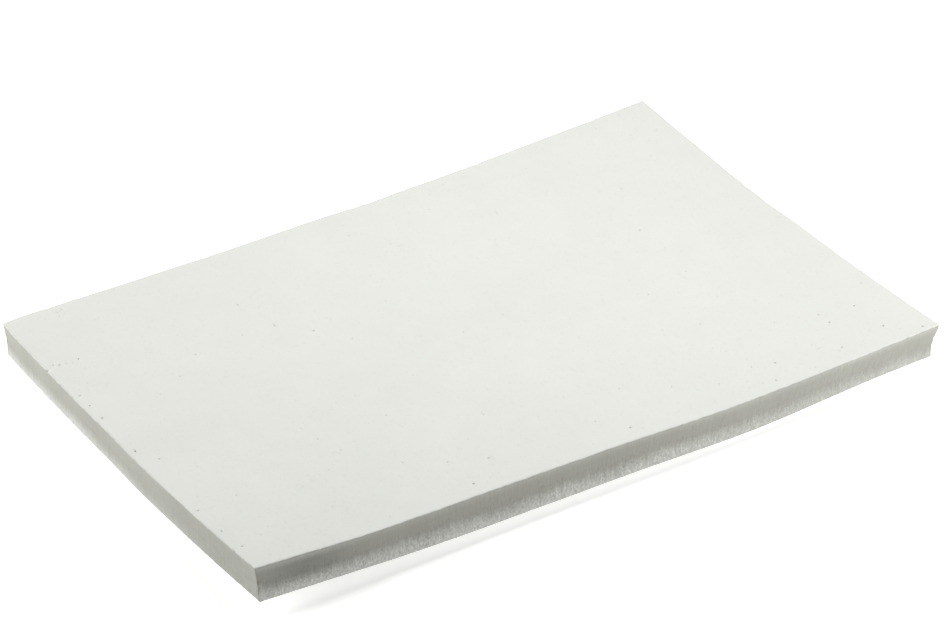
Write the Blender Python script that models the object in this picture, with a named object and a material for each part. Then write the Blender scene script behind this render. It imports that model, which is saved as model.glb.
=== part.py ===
"""Back protector insert: a laminated foam slab, 300 x 200 x 14 mm, that slides into the back pocket of a riding jacket.

Five layers are stacked and bonded: a facing skin, a thick impact ply, a glue film, a thin comfort ply and a backing skin.
The slab has curled a little in storage, so it is dished: a flat patch in the middle and four raised corners, two of them higher.
Metres, +Z up, origin at the middle of the underside. +X runs along the long side, +Y along the short side.
"""

import math

import bpy
import bmesh

# Overall size of the blank, measured over its longest edges.
LENGTH = 0.300
WIDTH = 0.200
THICKNESS = 0.014

# Layers, from the underside up. GAP is the clearance between bonded neighbours.
GAP = 0.0003
BACKING = 0.0009
COMFORT_PLY = 0.0034
GLUE = 0.0003
FACING = 0.0009
IMPACT_PLY = THICKNESS - BACKING - COMFORT_PLY - GLUE - FACING - 4 * GAP

# Dish: how far the ends, the sides and one diagonal curl up from the flat patch.
FLAT = 0.10  # half width of the flat patch, as a share of the half length and half width
CURL_ENDS = 0.0032
CURL_SIDES = 0.0034
CURL_DIAGONAL = 0.0030
CURL_POWER = 1.6
# The front edge has a slight wave too. It fades out at the corners and towards the middle of the slab.
WAVE = 0.0007
WAVE_CREST = -0.10
WAVE_LENGTH = 1.14
WAVE_REACH = 0.70

# The knife leans. Three cut edges run in towards the underside by these amounts, and the front one runs out.
UNDERCUT_LEFT = 0.0008
UNDERCUT_RIGHT = 0.0026
UNDERCUT_BACK = 0.0008
FLARE_FRONT = 0.0010

# Grid lines across the slab: STEPS cells from each edge to the flat patch, and one cell over the patch.
STEPS = 6


def curl(across):
    """How far a place at this share of the half size is past the flat patch, from 0 to 1, with its sign."""
    past = max(0.0, abs(across) - FLAT) / (1.0 - FLAT)
    return past if across > 0 else -past


def dish(u, v):
    """Rise of the slab above its flat patch, at shares u and v of its half length and half width."""
    cu, cv = curl(u), curl(v)
    near_front = max(0.0, (-v - 1.0 + WAVE_REACH) / WAVE_REACH) ** 2
    along = (1.0 - u * u) * math.cos(2.0 * math.pi * (u - WAVE_CREST) / WAVE_LENGTH)
    return (
        CURL_ENDS * abs(cu) ** CURL_POWER
        + CURL_SIDES * abs(cv) ** CURL_POWER
        + CURL_DIAGONAL * cu * cv
        + WAVE * near_front * along
    )


def place(u, v, level):
    """Point of the slab at shares u and v, and at a level above the underside."""
    deep = 1.0 - level / THICKNESS
    half_x = LENGTH / 2 - deep * (UNDERCUT_RIGHT if u > 0 else UNDERCUT_LEFT)
    if v > 0:
        half_y = WIDTH / 2 - deep * UNDERCUT_BACK
    else:
        half_y = WIDTH / 2 - (1.0 - deep) * FLARE_FRONT
    return (u * half_x, v * half_y, level + dish(u, v))


def grid_line(index):
    """Share of the half size at a grid line. The two middle lines bound the flat patch."""
    step = (1.0 - FLAT) / STEPS
    if index <= STEPS:
        return -1.0 + step * index
    return 1.0 - step * (2 * STEPS + 1 - index)


def material(name, colour, roughness):
    made = bpy.data.materials.new(name)
    made.use_nodes = True
    shader = made.node_tree.nodes["Principled BSDF"]
    shader.inputs["Base Color"].default_value = (*colour, 1.0)
    shader.inputs["Roughness"].default_value = roughness
    shader.inputs["Metallic"].default_value = 0.0
    return made


def layer(name, bottom, thickness, finish):
    """One layer of the slab: a grid laid over the dish, extruded up by the layer's thickness."""
    cells = 2 * STEPS + 1
    bm = bmesh.new()
    bmesh.ops.create_grid(bm, x_segments=cells, y_segments=cells, size=1.0)
    for vertex in bm.verts:
        i = round((vertex.co.x + 1.0) / 2.0 * cells)
        j = round((vertex.co.y + 1.0) / 2.0 * cells)
        vertex.co.x, vertex.co.y = grid_line(i), grid_line(j)
    lower = set(bm.verts)
    bmesh.ops.extrude_face_region(bm, geom=bm.faces[:], use_keep_orig=True)
    for vertex in bm.verts:
        level = bottom if vertex in lower else bottom + thickness
        vertex.co = place(vertex.co.x, vertex.co.y, level)
    bmesh.ops.triangulate(bm, faces=bm.faces[:], quad_method="FIXED")
    bmesh.ops.recalc_face_normals(bm, faces=bm.faces[:])
    mesh = bpy.data.meshes.new(name)
    bm.to_mesh(mesh)
    bm.free()
    mesh.materials.append(finish)
    made = bpy.data.objects.new(name, mesh)
    bpy.context.scene.collection.objects.link(made)
    made.parent = slab
    return made


for old in list(bpy.data.objects):
    bpy.data.objects.remove(old, do_unlink=True)

slab = bpy.data.objects.new("slab", None)
bpy.context.scene.collection.objects.link(slab)

skin = material("skin", (0.80, 0.81, 0.77), 0.62)
impact_foam = material("impact_foam", (0.64, 0.65, 0.62), 0.90)
glue = material("glue", (0.52, 0.53, 0.50), 0.55)
comfort_foam = material("comfort_foam", (0.68, 0.69, 0.66), 0.92)

level = 0.0
layer("backing_skin", level, BACKING, skin)
level += BACKING + GAP
layer("comfort_foam_ply", level, COMFORT_PLY, comfort_foam)
level += COMFORT_PLY + GAP
layer("glue_film", level, GLUE, glue)
level += GLUE + GAP
layer("impact_foam_ply", level, IMPACT_PLY, impact_foam)
level += IMPACT_PLY + GAP
layer("facing_skin", level, FACING, skin)
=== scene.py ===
"""Visual model of the laminated foam back protector insert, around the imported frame.

Each layer is one closed mesh. Its cut edge is a fine band round the whole slab, shaped by the knife and the foam's cells, and its broad faces follow the slab's curl.
"""

import math

import bpy
import numpy as np
from mathutils import Matrix, Vector, geometry


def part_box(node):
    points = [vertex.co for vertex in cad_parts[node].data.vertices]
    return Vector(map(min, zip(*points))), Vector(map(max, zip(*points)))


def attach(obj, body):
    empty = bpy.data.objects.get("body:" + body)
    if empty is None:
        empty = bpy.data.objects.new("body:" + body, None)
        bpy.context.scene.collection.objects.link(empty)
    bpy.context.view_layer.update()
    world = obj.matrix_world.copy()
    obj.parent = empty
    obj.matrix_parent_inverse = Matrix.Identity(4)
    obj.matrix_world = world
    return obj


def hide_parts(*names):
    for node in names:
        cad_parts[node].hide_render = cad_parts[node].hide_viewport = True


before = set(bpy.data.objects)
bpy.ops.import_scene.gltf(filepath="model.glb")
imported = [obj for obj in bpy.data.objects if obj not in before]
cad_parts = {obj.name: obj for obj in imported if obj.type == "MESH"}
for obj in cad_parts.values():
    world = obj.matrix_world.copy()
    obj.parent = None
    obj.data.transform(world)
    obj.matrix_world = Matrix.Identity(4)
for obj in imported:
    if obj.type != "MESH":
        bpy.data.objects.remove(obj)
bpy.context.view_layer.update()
MM = 0.001

# ---------------------------------------------------------------- the slab's shape, as in the frame

FLAT, POWER = 0.10, 1.6
CURL_ENDS, CURL_SIDES, CURL_DIAGONAL = 3.2, 3.4, 3.0  # mm
WAVE, WAVE_CREST, WAVE_LENGTH, WAVE_REACH = 0.7, -0.10, 1.14, 0.70  # mm, then shares of the half size
low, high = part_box("facing_skin")
HALF_X, HALF_Y = high.x / MM, high.y / MM  # mm, over the longest edges
TOP = 14.0
LEVELS = {  # mm above the underside: each layer fills half of the bond gap beside it
    "backing_skin": (0.0, 1.05),
    "comfort_foam_ply": (1.05, 4.75),
    "glue_film": (4.75, 5.35),
    "impact_foam_ply": (5.35, 12.95),
    "facing_skin": (12.95, TOP),
}
for node, (below, above) in LEVELS.items():
    assert abs(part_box(node)[0].z / MM - below) < 0.35, node
# The lean of each cut edge: how far the underside is short of the facing side. The front leans the other way.
LEAN_LEFT, LEAN_RIGHT, LEAN_BACK, FLARE_FRONT = 0.8, 2.6, 0.8, 1.0


def curl(across):
    past = np.maximum(0.0, np.abs(across) - FLAT) / (1.0 - FLAT)
    return np.sign(across) * past


def dish(u, v):
    cu, cv = curl(u), curl(v)
    near_front = (np.maximum(0.0, -v - 1.0 + WAVE_REACH) / WAVE_REACH) ** 2
    along = (1.0 - u * u) * np.cos(2 * np.pi * (u - WAVE_CREST) / WAVE_LENGTH)
    return (
        CURL_ENDS * np.abs(cu) ** POWER
        + CURL_SIDES * np.abs(cv) ** POWER
        + CURL_DIAGONAL * cu * cv
        + WAVE * near_front * along
    )


def rise(x, y):
    """The dish's height, in mm, at a place in mm."""
    return dish(
        np.clip(x / HALF_X, -1.02, 1.02),
        np.clip(y / HALF_Y, -1.02, 1.02),
    )


# ---------------------------------------------------------------- noise that is the same each run


def lattice(seed, nx, ny=1):
    return np.random.RandomState(seed).uniform(-1, 1, (ny, nx))


def smooth(t):
    return t * t * (3 - 2 * t)


def noise_round(seed, s, pitch, t=None, pitch_t=1.0):
    """Smooth noise in -1 to 1 along the slab's edge, which closes on itself. t adds a second direction, with its own pitch."""
    cells = max(3, int(round(ROUND / pitch)))
    p = (s / ROUND) * cells
    i = np.floor(p).astype(int)
    f = smooth(p - i)
    if t is None:
        row = lattice(seed, cells)[0]
        return row[i % cells] * (1 - f) + row[(i + 1) % cells] * f
    q = t / pitch_t
    j = np.floor(q).astype(int)
    g = smooth(q - j)
    grid = lattice(seed, cells, 128)
    a = grid[j % 128, i % cells] * (1 - f) + grid[j % 128, (i + 1) % cells] * f
    b = grid[(j + 1) % 128, i % cells] * (1 - f) + grid[
        (j + 1) % 128, (i + 1) % cells
    ] * f
    return a * (1 - g) + b * g


def noise_flat(seed, x, y, pitch):
    """Smooth noise in -1 to 1 over the broad faces."""
    grid = lattice(seed, 512, 512)
    p, q = (x + 400.0) / pitch, (y + 400.0) / pitch
    i, j = np.floor(p).astype(int), np.floor(q).astype(int)
    f, g = smooth(p - i), smooth(q - j)
    a = grid[j % 512, i % 512] * (1 - f) + grid[j % 512, (i + 1) % 512] * f
    b = grid[(j + 1) % 512, i % 512] * (1 - f) + grid[(j + 1) % 512, (i + 1) % 512] * f
    return a * (1 - g) + b * g


# ---------------------------------------------------------------- the outline, walked round once

PITCH = 0.23  # mm between points along the cut edge
CORNER = 0.55  # mm, the corner's radius in plan


def outline():
    """Points round the slab at full size, their outward directions and the distance walked. It starts at the near left corner and runs along the front."""
    places, outward = [], []
    sides = (
        ((-HALF_X, -HALF_Y), (1, 0), 2 * HALF_X),
        ((HALF_X, -HALF_Y), (0, 1), 2 * HALF_Y),
        ((HALF_X, HALF_Y), (-1, 0), 2 * HALF_X),
        ((-HALF_X, HALF_Y), (0, -1), 2 * HALF_Y),
    )
    for (x0, y0), (dx, dy), long in sides:
        count = int(round((long - 2 * CORNER) / PITCH))
        for k in range(count):
            d = CORNER + (long - 2 * CORNER) * k / count
            places.append((x0 + dx * d, y0 + dy * d))
            outward.append((dy, -dx))
        centre = (
            x0 + dx * (long - CORNER) - dy * CORNER,
            y0 + dy * (long - CORNER) + dx * CORNER,
        )
        start = math.atan2(-dx, dy)
        for k in range(5):
            angle = start + math.pi / 2 * k / 5
            outward.append((math.cos(angle), math.sin(angle)))
            places.append(
                (
                    centre[0] + CORNER * math.cos(angle),
                    centre[1] + CORNER * math.sin(angle),
                )
            )
    places, outward = np.array(places), np.array(outward)
    walked = np.linalg.norm(np.roll(places, -1, 0) - places, axis=1)
    s = np.concatenate([[0], np.cumsum(walked)[:-1]])
    return places, outward, s, float(walked.sum())


EDGE, OUT, S, ROUND = outline()
N = len(EDGE)
FRONT_END = 2 * HALF_X
RIGHT_END = FRONT_END + 2 * HALF_Y
BACK_END = RIGHT_END + 2 * HALF_X


def corner_nearness(s, reach):
    """1 at the slab's corners, falling to 0 at this reach along the edge."""
    marks = np.array([0, FRONT_END, RIGHT_END, BACK_END, ROUND])
    near = np.min(np.abs(s[..., None] - marks), axis=-1)
    return np.clip(1 - near / reach, 0, 1)


# Open cells that the knife has cut through: where along the edge, how deep in the slab, their radius and how far they go in.
_r = np.random.RandomState(71)


def scatter_pits():
    pits = []

    def add(count, depth, spread, size, deep, low=0.0, high=TOP):
        for _ in range(count):
            d = _r.normal(depth, spread) if spread else _r.uniform(low, high)
            if low <= d <= high:
                r = size[0] + (size[1] - size[0]) * _r.random_sample() ** 2.2
                pits.append(
                    (
                        _r.uniform(0, ROUND),
                        d,
                        r,
                        r * _r.uniform(*deep),
                        _r.uniform(1.1, 3.2),
                    )
                )

    add(1700, 8.3, 1.0, (0.13, 0.27), (0.30, 0.75), 6.2, 11.5)  # where the foam turns coarser
    add(2600, 0, 0, (0.12, 0.22), (0.25, 0.60), 8.4, 13.8)  # the coarse ply
    add(500, 0, 0, (0.12, 0.22), (0.15, 0.35), 1.2, 8.0)  # the fine ply
    return np.array(pits)


PITS = scatter_pits()


def pit_field(depth_rows):
    """How far each point of the cut edge is pushed in by the open cells, in mm, and how dark it is painted as shade in
    them, for rows at these depths.
    """
    push = np.zeros((len(depth_rows), N))
    dark = np.zeros((len(depth_rows), N))
    rows = np.asarray(depth_rows)
    for s0, d0, r, deep, stretch in PITS:
        here = np.nonzero(np.abs(rows - d0) < r * stretch)[0]
        if not len(here):
            continue
        first = np.searchsorted(S, s0 - r)
        last = np.searchsorted(S, s0 + r)
        cols = np.arange(first, last)
        if s0 - r < 0:
            cols = np.concatenate([cols, np.arange(np.searchsorted(S, s0 - r + ROUND), N)])
        if not len(cols):
            continue
        ds = (S[cols] - s0 + ROUND / 2) % ROUND - ROUND / 2
        a = (ds[None, :] / r) ** 2 + ((rows[here][:, None] - d0) / (r * stretch)) ** 2
        bowl = np.clip(1 - a, 0, 1) ** 0.7
        block = np.ix_(here, cols)
        push[block] = np.maximum(push[block], bowl * deep)
        dark[block] = np.maximum(dark[block], np.clip(bowl * 1.3, 0, 1) * min(1, deep * 3.4))
    return push, dark


def step(value, low, high):
    return smooth(np.clip((value - low) / (high - low), 0, 1))


# How much each point belongs to each cut edge. Round a corner one share gives way to the next.
FRONT, RIGHT = np.maximum(0, -OUT[:, 1]) ** 2, np.maximum(0, OUT[:, 0]) ** 2
BACK, LEFT = np.maximum(0, OUT[:, 1]) ** 2, np.maximum(0, -OUT[:, 0]) ** 2


def profile(level):
    """How far the front and the other cut edges stand out from the frame's straight lean at this level above the underside, in mm."""
    depth = TOP - level
    share = depth / TOP
    hollow = math.sin(math.pi * min(1, max(0, share))) ** 1.1
    swell = max(0.0, share - 0.50) / 0.50
    straight = -FLARE_FRONT * (1 - share)
    front = -1.02 - 0.12 * hollow + 1.30 * swell**1.7 - straight
    other = -0.04 - 0.30 * hollow + 0.22 * swell**1.5
    return front - worn(depth, ARRIS_FRONT), other - worn(depth, ARRIS)


def tufts(s, d):
    """Short upright tufts of torn foam, -1 to 1: they are a little longer than they are wide."""
    return (
        0.42 * noise_round(62, s + 0.10 * d, 0.50, d, 1.05)
        + 0.52 * noise_round(63, s, 0.46, d + 1.1, 0.60)
        + 0.22 * noise_round(64, s + 0.10 * d, 1.6, d, 2.2)
    )


def relief(depth):
    """For rows of the cut edge at this depth below the facing side: its fine outward offset in mm, how dark it is
    painted, mostly painted shade in pits and beside the near corner, and how pale it is painted, by torn foam and by
    painted light, both 0 to 1.
    """
    d = np.asarray(depth)[:, None]
    share = d / TOP
    s = np.broadcast_to(S[None, :], (len(depth), N))
    # The blade wanders along the cut, a little differently at each depth.
    out = 0.09 * noise_round(11, s, 31.0) + 0.05 * noise_round(12, s, 9.0, d, 9.0)
    # Below the middle the knife tore the foam: it starts at a ragged height and grows paler to the underside.
    start = (
        0.505
        + 0.040 * noise_round(65, s, 0.9)
        + 0.035 * noise_round(66, s, 0.46)
        + 0.040 * noise_round(67, s, 14.0)
        + 0.080 * (1 - FRONT)[None, :]
        + 0.075 * (FRONT * step(EDGE[:, 0], 20.0, 115.0))[None, :]
    )
    torn = step(share, start, start + 0.42)
    tuft = tufts(s, d)
    # The front is torn most, less towards its right end. The left side is torn less and less towards the near corner.
    # In the colour this also paints light: the torn foam is paler where more light falls on the lower cut edge.
    much = np.where(
        FRONT > 0.5,
        1.0 - 0.42 * step(EDGE[:, 0], 20.0, 115.0),
        np.where(LEFT > 0.5, 0.06 + 0.72 * step(EDGE[:, 1], -75.0, 30.0), 0.45),
    )[None, :]
    near = (FRONT * (1 - step(EDGE[:, 0], -70.0, 40.0)))[None, :]  # painted light: paler still towards the near corner, where the floor's light from below falls
    coarse = np.where(FRONT > 0.5, 0.42, 0.14)[None, :]
    frost_and_painted_light = torn * np.clip(0.72 + 0.17 * near + coarse * tuft, 0, 1) * much
    # Painted light: the front's upper border is painted paler, where light falls on the eased arris.
    frost_and_painted_light = frost_and_painted_light + 0.17 * FRONT[None, :] * (1 - step(share, 0.03, 0.27))
    # Above it the cut is smooth, with faint upright marks.
    marks = 0.030 * noise_round(21, s + 0.10 * d, 1.5, d, 11.0) + 0.022 * noise_round(22, s + 0.10 * d, 0.70, d, 6.0)
    out = out + marks + torn * 0.060 * tuft * much
    grain = noise_round(31, s, 0.50, d, 0.50)
    out = out + grain * (0.012 + 0.030 * torn * much)
    push, dark = pit_field(depth)
    out = out - push
    # The corner's upright edge is a little ragged.
    at_corner = corner_nearness(s, 1.5)
    ragged = (
        0.16 * noise_round(41, s * 0 + S[None, :] // 50 * 50.0, 3.0, d, 2.3)
        - 0.26 * np.exp(-((share - 0.42) ** 2) / 0.0020)
        + 0.14 * np.exp(-((share - 0.54) ** 2) / 0.0030)
    )
    out = out + ragged * at_corner
    # Painted shade: the smoothest stretch of the cut, beside the near corner, is painted darker, as shade where little
    # light reaches it.
    band = np.exp(-(((EDGE[:, 0] + 131.0) / 17.0) ** 2)) * FRONT
    band = band[None, :] * step(share, 0.03, 0.26) * (1 - step(share, 0.52, 0.86))
    # Dark specks where the tearing starts, and a thin darker line at the underside: painted shade under the edge.
    speck = step(noise_round(68, s, 0.46, d, 0.75), 0.30, 0.62) * step(share, 0.30, 0.46) * (1 - step(share, 0.80, 0.97))
    line = step(share, 0.955, 0.985) * (0.5 + 0.5 * noise_round(69, s, 2.3))
    dark = 0.67 * dark + 0.80 * band + (0.30 * speck * much + 0.34 * line) * (0.35 + 0.65 * FRONT[None, :])
    return out, np.clip(dark, 0, 1), frost_and_painted_light


# mm: how round the edge is at the facing side, along the front and elsewhere, and at the underside.
ARRIS_FRONT, ARRIS, UNDER = 0.80, 0.20, 0.34


def worn(depth, arris):
    """How far the edge is drawn in by its rounding at the facing side and underside, in mm."""

    def inward(d, radius):
        past = min(radius, max(0.0, radius - d))
        return radius - math.sqrt(max(0.0, radius**2 - past**2))

    return inward(depth, arris) + inward(TOP - depth, UNDER)


def level_row(level, offset):
    """Points round the cut edge at this level above the underside, in mm, each moved out by its own offset."""
    deep = (TOP - level) / TOP
    front, other = profile(level)
    u, v = EDGE[:, 0] / HALF_X, EDGE[:, 1] / HALF_Y
    # Along the front the knife's lean changes: right of the middle it cut under the slab instead of flaring out.
    def swell_at(place, reach):
        return np.exp(-(((u - place) / reach) ** 2))

    upper = 1.15 * swell_at(0.28, 0.26) + 0.75 * swell_at(0.72, 0.25) + 0.70 * swell_at(-0.75, 0.14) - 0.20 * swell_at(-0.35, 0.20)
    front = front + (1 - deep) * upper - deep * 2.2 * step(u, 0.35, 0.85)
    x = u * (HALF_X - deep * np.where(u > 0, LEAN_RIGHT, LEAN_LEFT) + other)
    y = v * np.where(v > 0, HALF_Y - deep * LEAN_BACK + other, HALF_Y - (1 - deep) * FLARE_FRONT + front)
    # The far left corner is worn a little rounder than the others.
    worn_corner = np.exp(-(((EDGE[:, 0] + HALF_X) ** 2 + (EDGE[:, 1] - HALF_Y) ** 2) / 6.5**2))
    x, y = x + 0.15 * worn_corner, y - 0.9 * worn_corner
    return x + OUT[:, 0] * offset, y + OUT[:, 1] * offset


def nicks(count, seed):
    """Small chips along the arris: how far each point of the edge is lowered, in mm."""
    r = np.random.RandomState(seed)
    chips = np.zeros(N)
    for _ in range(count):
        s0, wide, deep = r.uniform(0, ROUND), r.uniform(0.5, 1.6), r.uniform(0.05, 0.20)
        ds = (S - s0 + ROUND / 2) % ROUND - ROUND / 2
        chips = np.maximum(chips, deep * np.exp(-((ds / wide) ** 2)))
    # One clear nick in the left edge, 62 mm behind the middle.
    ds = S - (BACK_END + HALF_Y - 62.0)
    return np.maximum(chips, 0.55 * np.exp(-((ds / 0.7) ** 2)))


CHIPS = nicks(110, 5)


# ---------------------------------------------------------------- the broad faces

_p = np.random.RandomState(17)


CLEAR = (  # the pinholes that show most, in mm from the slab's middle: most are close to the cut edges
    (-147, 39), (-147, 31), (-147, 21), (-146, 63), (-144, 62), (-136, 62), (-142, -14), (-147, -5),
    (-147, -53), (-147, -70), (-146, -83), (-66, 64), (-61, 44), (-50, 33), (-56, -91), (-42, -79),
    (12, -91), (4, -80), (96, 24), (83, -84), (76, -94), (117, -66), (117, -73), (110, -90),
    (132, -69), (132, -87), (144, -96),
)  # fmt: skip


def scatter_pinholes():
    """Pinholes in the facing skin: place in mm, radius and depth in mm, and how dark their painted shade is."""
    holes = []
    for x, y in CLEAR:
        holes.append((x, y, _p.uniform(0.34, 0.50), _p.uniform(0.30, 0.48), _p.uniform(0.50, 0.85)))
    # Others are smaller, and most hardly show.
    for count, size, deep, shade_and_specks in (
        (36, (0.24, 0.36), (0.18, 0.34), 0.48),
        (220, (0.18, 0.28), (0.10, 0.24), 0.28),
        (900, (0.12, 0.20), (0.06, 0.14), 0.22),
    ):
        made = 0
        while made < count:
            x, y = _p.uniform(-HALF_X + 3, HALF_X - 3), _p.uniform(-HALF_Y + 4, HALF_Y - 3)
            crowd = 0.42 + 0.58 * max(0, -y / HALF_Y * 0.6 - x / HALF_X * 0.2 + 0.2)
            if _p.random_sample() > crowd:
                continue
            r = _p.uniform(*size)
            if any((x - a) ** 2 + (y - b) ** 2 < (r + c + 0.9) ** 2 for a, b, c, *_ in holes):
                continue
            holes.append((x, y, r, _p.uniform(*deep), shade_and_specks))
            made += 1
    return holes


PINHOLES = scatter_pinholes()


def broad_points(pitch, margin, holes=()):
    """Points over a broad face, in mm: a shaken grid, with rings of points round each hole."""
    r = np.random.RandomState(3)
    nx, ny = int((HALF_X - margin) * 2 / pitch), int((HALF_Y - margin) * 2 / pitch)
    gx = np.linspace(-HALF_X + margin, HALF_X - margin, nx + 1)
    gy = np.linspace(-HALF_Y + margin, HALF_Y - margin, ny + 1)
    x, y = (a.ravel() for a in np.meshgrid(gx, gy))
    inside = (np.abs(x) < HALF_X - margin - 0.1) & (np.abs(y) < HALF_Y - margin - 0.1)
    x = x + np.where(inside, r.uniform(-0.22, 0.22, len(x)) * pitch, 0)
    y = y + np.where(inside, r.uniform(-0.22, 0.22, len(x)) * pitch, 0)
    keep = np.ones(len(x), bool)
    extra = []
    for hx, hy, radius, *_ in holes:
        keep &= (x - hx) ** 2 + (y - hy) ** 2 > (radius * 1.9) ** 2
        extra.append((hx, hy))
        turn = r.uniform(0, 6.28)
        squeeze = r.uniform(0.8, 1.2)
        for share, around in ((0.45, 6), (0.85, 9), (1.0, 10), (1.35, 9)):
            for k in range(around):
                a = turn + 2 * math.pi * (k + 0.5 * (share > 0.9)) / around
                extra.append(
                    (hx + radius * share * squeeze * math.cos(a), hy + radius * share / squeeze * math.sin(a))
                )
    pts = np.stack([x[keep], y[keep]], 1)
    return np.concatenate([pts, np.array(extra)]) if extra else pts


def hole_field(x, y, holes):
    """How far each point of the facing is lowered by the pinholes, in mm, and how dark it is painted, as shade in the
    pinholes.
    """
    drop, dark = np.zeros(len(x)), np.zeros(len(x))
    order = np.argsort(x)
    xs = x[order]
    for hx, hy, radius, deep, shade_and_specks in holes:
        a, b = np.searchsorted(xs, [hx - 1.3 * radius, hx + 1.3 * radius])
        i = order[a:b]
        squeeze = 1.0 + 0.28 * math.sin(hx * 7.3 + hy * 3.1)
        q = np.sqrt(((x[i] - hx) / squeeze) ** 2 + ((y[i] - hy) * squeeze) ** 2) / radius
        bowl = smooth(np.clip((1.05 - q) / 0.60, 0, 1))
        drop[i] = np.maximum(drop[i], bowl * deep)
        dark[i] = np.maximum(dark[i], np.clip((1.15 - q) / 0.6, 0, 1) * shade_and_specks)
    return drop, dark


def undulate(x, y):
    """The facing's own soft unevenness, in mm."""
    return (
        0.070 * noise_flat(51, x, y, 38.0)
        + 0.030 * noise_flat(52, x, y, 14.0)
        + 0.010 * noise_flat(53, x, y, 4.5)
    )


def cap(loop, points, face_up):
    """Triangles between a closed loop of places and the points inside it, as indices into the loop and then the points.
    The loop's own indices come first.
    """
    n = len(loop)
    x, y = loop[:, 0], loop[:, 1]
    # The grid stays well inside the loop, so no grid point lands on it.
    verts = [Vector((float(a), float(b))) for a, b in np.concatenate([loop, points])]
    found, _, tris, origin, *_ = geometry.delaunay_2d_cdt(
        verts, [(i, (i + 1) % n) for i in range(n)], [list(range(n))], 1, 1e-6
    )
    source = np.array([o[0] if o else -1 for o in origin])
    assert len(found) == len(verts) and (np.sort(source) == np.arange(len(verts))).all()
    tris = source[np.array(tris)]
    allp = np.concatenate([loop, points])
    a, b, c = (allp[tris[:, k]] for k in range(3))
    turn = (b[:, 0] - a[:, 0]) * (c[:, 1] - a[:, 1]) - (b[:, 1] - a[:, 1]) * (c[:, 0] - a[:, 0])
    wrong = (turn > 0) != face_up
    tris[wrong] = tris[wrong][:, ::-1]
    return tris


# ---------------------------------------------------------------- the layers' meshes


def rows_between(bottom, top, pitch):
    """Levels from bottom to top, closer together where the edge is worn round."""
    count = max(2, int(round((top - bottom) / pitch)))
    marks = [bottom + (top - bottom) * k / count for k in range(count + 1)]
    extra = [TOP - q for q in (0.006, 0.03, 0.08, 0.16, 0.26, 0.40, 0.60, 0.80)]
    extra += [UNDER * q for q in (0.02, 0.1, 0.25, 0.5, 0.75)]
    marks = sorted(set(round(m, 4) for m in marks + [e for e in extra if bottom < e < top]))
    kept = [marks[0]]
    for m in marks[1:-1]:
        if m - kept[-1] > 0.015 and marks[-1] - m > 0.005:
            kept.append(m)
    return np.array(kept + [marks[-1]])


def rings_inside(loop, holes):
    """Points a little inside a loop, thinning out, so the fine edge meets the coarse grid gently."""
    rings = []
    for inset, every in ((0.55, 3), (1.5, 5)):
        rings.append(loop[::every] - OUT[::every] * inset)
    rings = np.concatenate(rings)
    # None of them lies beyond the corner, where the two sides' rings would cross.
    inner = np.abs(loop).max(axis=0) - 0.45
    keep = (np.abs(rings) < inner).all(axis=1)
    for hx, hy, radius, *_ in holes:
        keep &= (rings[:, 0] - hx) ** 2 + (rings[:, 1] - hy) ** 2 > (radius * 1.9) ** 2
    return rings[keep]


def layer(name, pitch, fine_top=False, fine_bottom=False):
    bottom, top = LEVELS[name]
    levels = rows_between(bottom, top, pitch)
    out, shade_and_specks, frost_and_painted_light = relief(TOP - levels)
    points, darks, frosts_and_painted_light, skins = [], [], [], []
    edge_of_skin = 0.30 + 0.10 * noise_round(71, S, 1.7)  # mm down the cut edge
    for row, level in enumerate(levels):
        depth = TOP - level
        chip = CHIPS * (math.exp(-((depth / 0.5) ** 2)) + 0.5 * math.exp(-((level / 0.5) ** 2)))
        x, y = level_row(level, out[row] - chip)
        z = level + rise(x, y)
        if depth < 0.6:
            z = z - CHIPS * 0.7 * smooth(1 - depth / 0.6)
            z = z + undulate(x, y) * (1 - depth / 0.6)
        points.append(np.stack([x, y, z], 1))
        darks.append(np.maximum(shade_and_specks[row], 0.20 * (1 - FRONT) * (min(depth, level) < 0.30)))
        frosts_and_painted_light.append(frost_and_painted_light[row])
        skins.append(1 - step(min(depth, level), edge_of_skin * 0.35, edge_of_skin))
    rows = len(levels)
    # Quads of the band, facing out.
    i = np.arange(N)
    j = (i + 1) % N
    faces = np.concatenate(
        [np.stack([r * N + i, r * N + j, (r + 1) * N + j, (r + 1) * N + i], 1) for r in range(rows - 1)]
    ).tolist()
    verts = np.concatenate(points)
    fields = {"shade_and_specks": np.concatenate(darks), "frost_and_painted_light": np.concatenate(frosts_and_painted_light), "skin": np.concatenate(skins)}

    def close(row, face_up, fine):
        nonlocal verts, faces
        loop = points[row][:, :2]
        holes = PINHOLES if fine and face_up else ()
        if fine:
            margin = 3.6 if face_up else 5.6
            inner = broad_points(1.45, margin, holes)
            inner = np.concatenate([inner, rings_inside(loop, holes)])
        else:
            inner = broad_points(9.0, 6.0)
        tris = cap(loop, inner, face_up)
        x, y = inner[:, 0], inner[:, 1]
        z = levels[row] + rise(x, y)
        dark = np.zeros(len(x))
        if fine:
            z = z + (undulate(x, y) if face_up else -0.6 * undulate(x + 60, -y))
        if holes:
            drop, dark = hole_field(x, y, holes)
            z = z - drop
        base = len(verts)
        index = np.concatenate([row * N + np.arange(N), base + np.arange(len(inner))])
        verts = np.concatenate([verts, np.stack([x, y, z], 1)])
        for key, values in (("shade_and_specks", dark), ("frost_and_painted_light", 0 * x), ("skin", 0 * x + (1 if fine else 0))):
            fields[key] = np.concatenate([fields[key], values])
        faces += index[tris].tolist()

    close(0, False, fine_bottom)
    close(rows - 1, True, fine_top)
    mesh = bpy.data.meshes.new(name + "_body")
    mesh.from_pydata((verts * MM).tolist(), [], faces)
    mesh.update()
    for key, values in fields.items():
        mesh.attributes.new(key, "FLOAT", "POINT").data.foreach_set("value", values.astype(np.float32))
    mesh.shade_smooth()
    mesh.set_sharp_from_angle(angle=math.radians(60))
    made = bpy.data.objects.new(name + "_body", mesh)
    bpy.context.scene.collection.objects.link(made)
    return made


# ---------------------------------------------------------------- materials


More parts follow.
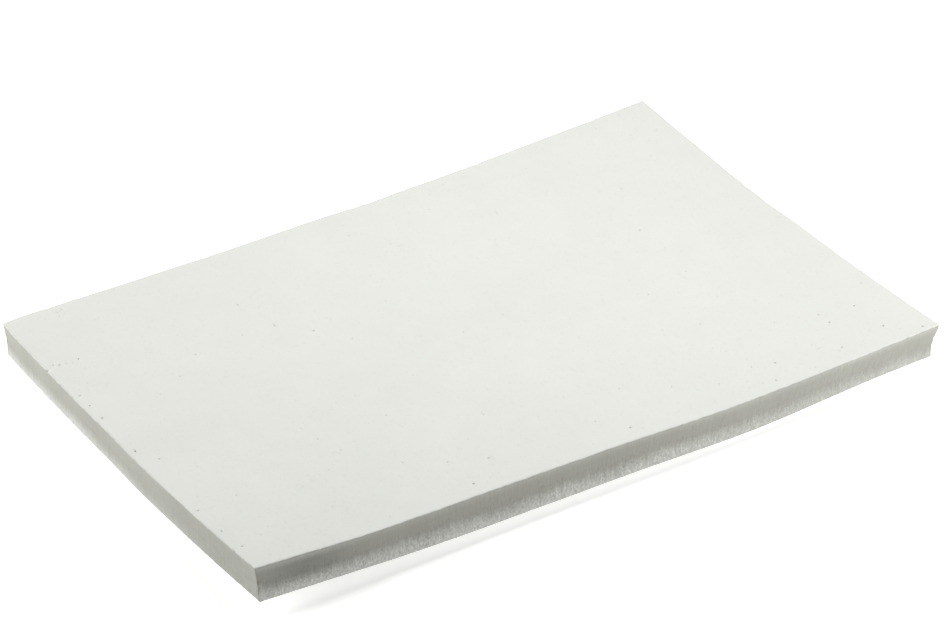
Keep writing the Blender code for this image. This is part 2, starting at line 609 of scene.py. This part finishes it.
class Nodes:
    """A short way to wire a material."""

    def __init__(self, name):
        self.material = bpy.data.materials.new(name)
        self.material.use_nodes = True
        self.tree = self.material.node_tree
        self.shader = self.tree.nodes["Principled BSDF"]
        self.coords = self.tree.nodes.new("ShaderNodeTexCoord").outputs["Object"]

    def node(self, kind, **inputs):
        made = self.tree.nodes.new("ShaderNode" + kind)
        for key, value in inputs.items():
            self.put(made, key, value)
        return made

    def put(self, node, key, value):
        socket = node.inputs[int(key[1:])] if key[0] == "_" else node.inputs[key.replace("_", " ")]
        if isinstance(value, bpy.types.NodeSocket):
            self.tree.links.new(value, socket)
        else:
            socket.default_value = value

    def noise(self, scale, detail=2.0, rough=0.5, stretch=None):
        vector = self.coords
        if stretch:
            mapping = self.node("Mapping", Vector=self.coords, Scale=stretch)
            vector = mapping.outputs[0]
        made = self.node("TexNoise", Vector=vector, Scale=scale, Detail=detail, Roughness=rough)
        return made.outputs["Fac"]

    def cells(self, scale, feature="F1"):
        made = self.node("TexVoronoi", Vector=self.coords, Scale=scale)
        made.feature = feature
        return made.outputs["Distance"]

    def span(self, value, low, high, to_low=0.0, to_high=1.0):
        made = self.node("MapRange", Value=value)
        for key, v in (("From Min", low), ("From Max", high), ("To Min", to_low), ("To Max", to_high)):
            made.inputs[key].default_value = v
        return made.outputs[0]

    def math(self, how, a, b):
        made = self.node("Math", _0=a, _1=b)
        made.operation = how
        return made.outputs[0]

    def mix(self, share, a, b, how="MIX"):
        made = self.node("Mix")
        made.data_type = "RGBA"
        made.blend_type = how
        self.put(made, "_0", share)
        self.put(made, "_6", a)
        self.put(made, "_7", b)
        return made.outputs[2]

    def bump(self, height, strength, distance, normal=None):
        made = self.node("Bump", Strength=strength, Distance=distance, Height=height)
        if normal is not None:
            self.put(made, "Normal", normal)
        return made.outputs[0]

    def field(self, name):
        """One of the mesh's own values, by name: how dark a point is painted, mostly painted shade in pits, pinholes
        and beside the near corner; how pale with torn foam and painted light; and how much moulded skin it has.
        """
        made = self.tree.nodes.new("ShaderNodeAttribute")
        made.attribute_name = name
        return made.outputs["Fac"]


def rgb(r, g, b):
    return (r, g, b, 1.0)


def skin_look(m, pale, shade):
    """Matte self-skinned foam: soft mottling, faint specks, a fine pebble and pinholes darkened with painted shade.
    Gives its colour and its relief.
    """
    cloud = m.span(m.noise(16, 3.0, 0.55), 0.35, 0.65)
    blot = m.span(m.noise(75, 2.0, 0.5), 0.35, 0.65)
    speck = m.span(m.noise(760, 2.0, 0.6), 0.30, 0.42, 1.0, 0.0)
    soft = m.math("ADD", m.math("MULTIPLY", cloud, 0.6), m.math("MULTIPLY", blot, 0.4))
    colour = m.mix(soft, shade, pale)
    colour = m.mix(m.math("MULTIPLY", speck, 0.10), colour, rgb(0.36, 0.36, 0.34))
    # Painted shade in the pinholes and on the cut edge, from the mesh's painted shade value.
    colour = m.mix(m.math("MULTIPLY", m.field("shade_and_specks"), 0.80), colour, rgb(0.19, 0.19, 0.175))
    relief = m.bump(m.noise(330, 2.0, 0.5), 0.42, 0.00011)
    return colour, m.bump(m.noise(1500, 3.0, 0.62), 0.40, 0.00006, relief)


def cut_look(m, smooth_pale, smooth_dark, torn, cell, grain):
    """Knife-cut foam: faint upright marks on the smooth cut, and white torn tufts over open cells darkened with painted
    shade; the torn foam's paleness is partly painted light. Gives its colour and its relief.
    """
    upright = (1.0, 1.0, 0.10)
    lines = m.span(m.noise(1150, 2.0, 0.6, upright), 0.30, 0.70)
    wide = m.span(m.noise(60, 2.0, 0.5, (1.0, 1.0, 0.4)), 0.35, 0.65)
    fine = m.span(m.noise(2100, 2.0, 0.6), 0.30, 0.70)
    mixed = m.math("ADD", m.math("MULTIPLY", lines, 0.30), m.math("MULTIPLY", wide, 0.25))
    mixed = m.math("ADD", mixed, m.math("MULTIPLY", fine, 0.45))
    colour = m.mix(mixed, smooth_dark, smooth_pale)
    # Painted shade: the open cells are darkened where the bump sinks them.
    pores = m.span(m.cells(cell), 0.05, 0.34, 1.0, 0.0)
    colour = m.mix(m.math("MULTIPLY", pores, grain), colour, rgb(0.20, 0.20, 0.18))
    # The torn foam is fine grained.
    streak = m.span(m.noise(1700, 2.0, 0.65, (1.0, 1.0, 0.62)), 0.34, 0.66, 0.45, 1.05)
    # Paler torn foam, with painted light on the front's upper border and towards the near corner.
    colour = m.mix(m.math("MULTIPLY", m.field("frost_and_painted_light"), streak), colour, torn)
    # Painted shade in pits, beside the near corner and along the underside, with dark specks.
    colour = m.mix(m.math("MULTIPLY", m.field("shade_and_specks"), 0.75), colour, rgb(0.17, 0.17, 0.155))
    height = m.math("SUBTRACT", m.math("MULTIPLY", fine, 0.5), pores)
    return colour, m.bump(height, 0.45, 0.00012, m.bump(lines, 0.25, 0.00010))


def matte(m, colour, normal, rough, specular):
    low, high = rough
    m.put(m.shader, "Base Color", colour)
    m.put(m.shader, "Roughness", m.span(m.noise(240, 3.0, 0.6), 0.3, 0.7, low, high))
    m.put(m.shader, "Normal", normal)
    m.shader.inputs["Specular IOR Level"].default_value = specular
    return m.material


SMOOTH_CUT = rgb(0.322, 0.324, 0.290), rgb(0.266, 0.268, 0.237)
TORN = rgb(0.640, 0.645, 0.615)


def skin_material(name, pale, shade):
    """A skin whose cut edge shows the foam under it."""
    m = Nodes(name)
    skin, skin_relief = skin_look(m, pale, shade)
    cut, cut_relief = cut_look(m, *SMOOTH_CUT, TORN, 1500, 0.22)
    share = m.field("skin")
    both = m.node("Mix", _0=share)
    both.data_type = "VECTOR"
    m.put(both, "_4", cut_relief)
    m.put(both, "_5", skin_relief)
    return matte(m, m.mix(share, cut, skin), both.outputs[1], (0.60, 0.74), 0.28)


def foam_material(name, cell, grain):
    m = Nodes(name)
    colour, normal = cut_look(m, *SMOOTH_CUT, TORN, cell, grain)
    return matte(m, colour, normal, (0.84, 0.96), 0.18)


def glue_material(name):
    """A set film of glue. Where the knife passed it hardly differs from the foam, only a little smoother and glossier."""
    m = Nodes(name)
    colour, normal = cut_look(m, *SMOOTH_CUT, TORN, 1500, 0.12)
    patch = m.span(m.noise(420, 3.0, 0.6), 0.35, 0.62, 0.0, 0.10)
    return matte(m, m.mix(patch, colour, rgb(0.36, 0.36, 0.33)), normal, (0.70, 0.85), 0.24)


facing = layer("facing_skin", 0.35, fine_top=True)
impact = layer("impact_foam_ply", 0.40)
glue = layer("glue_film", 0.20)
comfort = layer("comfort_foam_ply", 0.27)
backing = layer("backing_skin", 0.27, fine_bottom=True)

finishes = {
    facing: skin_material("facing_skin_look", rgb(0.622, 0.629, 0.594), rgb(0.604, 0.611, 0.576)),
    impact: foam_material("impact_foam_look", 1500, 0.22),
    glue: glue_material("glue_look"),
    comfort: foam_material("comfort_foam_look", 1150, 0.30),
    backing: skin_material("backing_skin_look", rgb(0.612, 0.618, 0.582), rgb(0.590, 0.596, 0.560)),
}
for piece, finish in finishes.items():
    piece.data.materials.append(finish)

for piece, node, slot in (
    (facing, "facing_skin", "skin"),
    (impact, "impact_foam_ply", "impact_foam"),
    (glue, "glue_film", "glue"),
    (comfort, "comfort_foam_ply", "comfort_foam"),
    (backing, "backing_skin", "skin"),
):
    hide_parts(node)
    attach(piece, "root")

# ---------------------------------------------------------------- floor, light and camera

GLOW = 0.40


def floor():
    """A pale sweep that glows faintly, like a light table, so that shadows stay soft. Far from the slab it is as bright as where the lamps reach."""
    mesh = bpy.data.meshes.new("floor")
    mesh.from_pydata([(-3, -3, 0), (3, -3, 0), (3, 3, 0), (-3, 3, 0)], [], [(0, 1, 2, 3)])
    m = Nodes("floor_look")
    tint = m.span(m.noise(3.0, 2.0, 0.5), 0.3, 0.7)
    m.put(m.shader, "Base Color", m.mix(tint, rgb(0.90, 0.90, 0.90), rgb(0.92, 0.92, 0.92)))
    m.shader.inputs["Roughness"].default_value = 0.9
    m.shader.inputs["Specular IOR Level"].default_value = 0.1
    m.shader.inputs["Emission Color"].default_value = (1.0, 1.0, 1.0, 1.0)
    away = m.node("VectorMath", _0=m.coords)
    away.operation = "LENGTH"
    m.put(m.shader, "Emission Strength", m.span(away.outputs[1], 0.55, 1.10, GLOW, 1.0))
    mesh.materials.append(m.material)
    made = bpy.data.objects.new("floor", mesh)
    made.location.z = -0.0003
    bpy.context.scene.collection.objects.link(made)


def softbox(name, place, aim, size, power, colour=(1, 1, 1)):
    data = bpy.data.lights.new(name, "AREA")
    data.shape = "RECTANGLE"
    data.size, data.size_y = size
    data.energy = power
    data.color = colour
    made = bpy.data.objects.new(name, data)
    made.location = place
    made.rotation_mode = "QUATERNION"
    made.rotation_quaternion = (Vector(aim) - Vector(place)).to_track_quat("-Z", "Y")
    bpy.context.scene.collection.objects.link(made)


floor()
softbox("overhead", (0.09, 0.03, 0.55), (0.09, 0.03, 0.0), (0.25, 0.25), 2.80)
softbox("left_card", (-0.60, 0.50, 0.30), (-0.15, 0.05, 0.0), (0.5, 0.4), 6.0)
softbox("left_low_card", (-0.75, 0.10, 0.20), (-0.15, 0.05, 0.0), (0.5, 0.3), 1.15)
softbox("front_card", (0.55, -0.90, 0.50), (0.10, -0.10, 0.0), (0.5, 0.5), 0.25)
softbox("right_near_card", (0.42, -0.34, 0.12), (0.08, -0.10, 0.0), (0.3, 0.16), 2.2)

world = bpy.data.worlds.new("studio")
world.use_nodes = True
world.node_tree.nodes["Background"].inputs[0].default_value = (1, 1, 1, 1)
world.node_tree.nodes["Background"].inputs[1].default_value = 0.02
bpy.context.scene.world = world


def camera():
    azimuth, elevation, roll = (math.radians(a) for a in (-32.083, 32.533, -0.655))
    ca, sa, ce, se = math.cos(azimuth), math.sin(azimuth), math.cos(elevation), math.sin(elevation)
    forward = Vector((-sa * ce, ca * ce, -se))
    right = Vector((ca, sa, 0.0))
    up = right.cross(forward)
    across = right * math.cos(roll) + up * math.sin(roll)
    upright = -right * math.sin(roll) + up * math.cos(roll)
    distance, off_x, off_y = 1.35028, -0.000979, 0.011996
    place = -(across * off_x - upright * off_y + forward) * distance
    data = bpy.data.cameras.new("camera")
    data.sensor_width = 36.0
    data.lens = 3500.0 / 947.0 * 36.0
    data.clip_start, data.clip_end = 0.05, 20.0
    made = bpy.data.objects.new("camera", data)
    turn = Matrix((across, upright, -forward)).transposed()
    made.matrix_world = Matrix.Translation(place) @ turn.to_4x4()
    bpy.context.scene.collection.objects.link(made)
    bpy.context.scene.camera = made


camera()
bpy.context.scene.view_settings.view_transform = "Standard"
bpy.context.scene.view_settings.look = "None"
bpy.context.scene.view_settings.exposure = 0.0
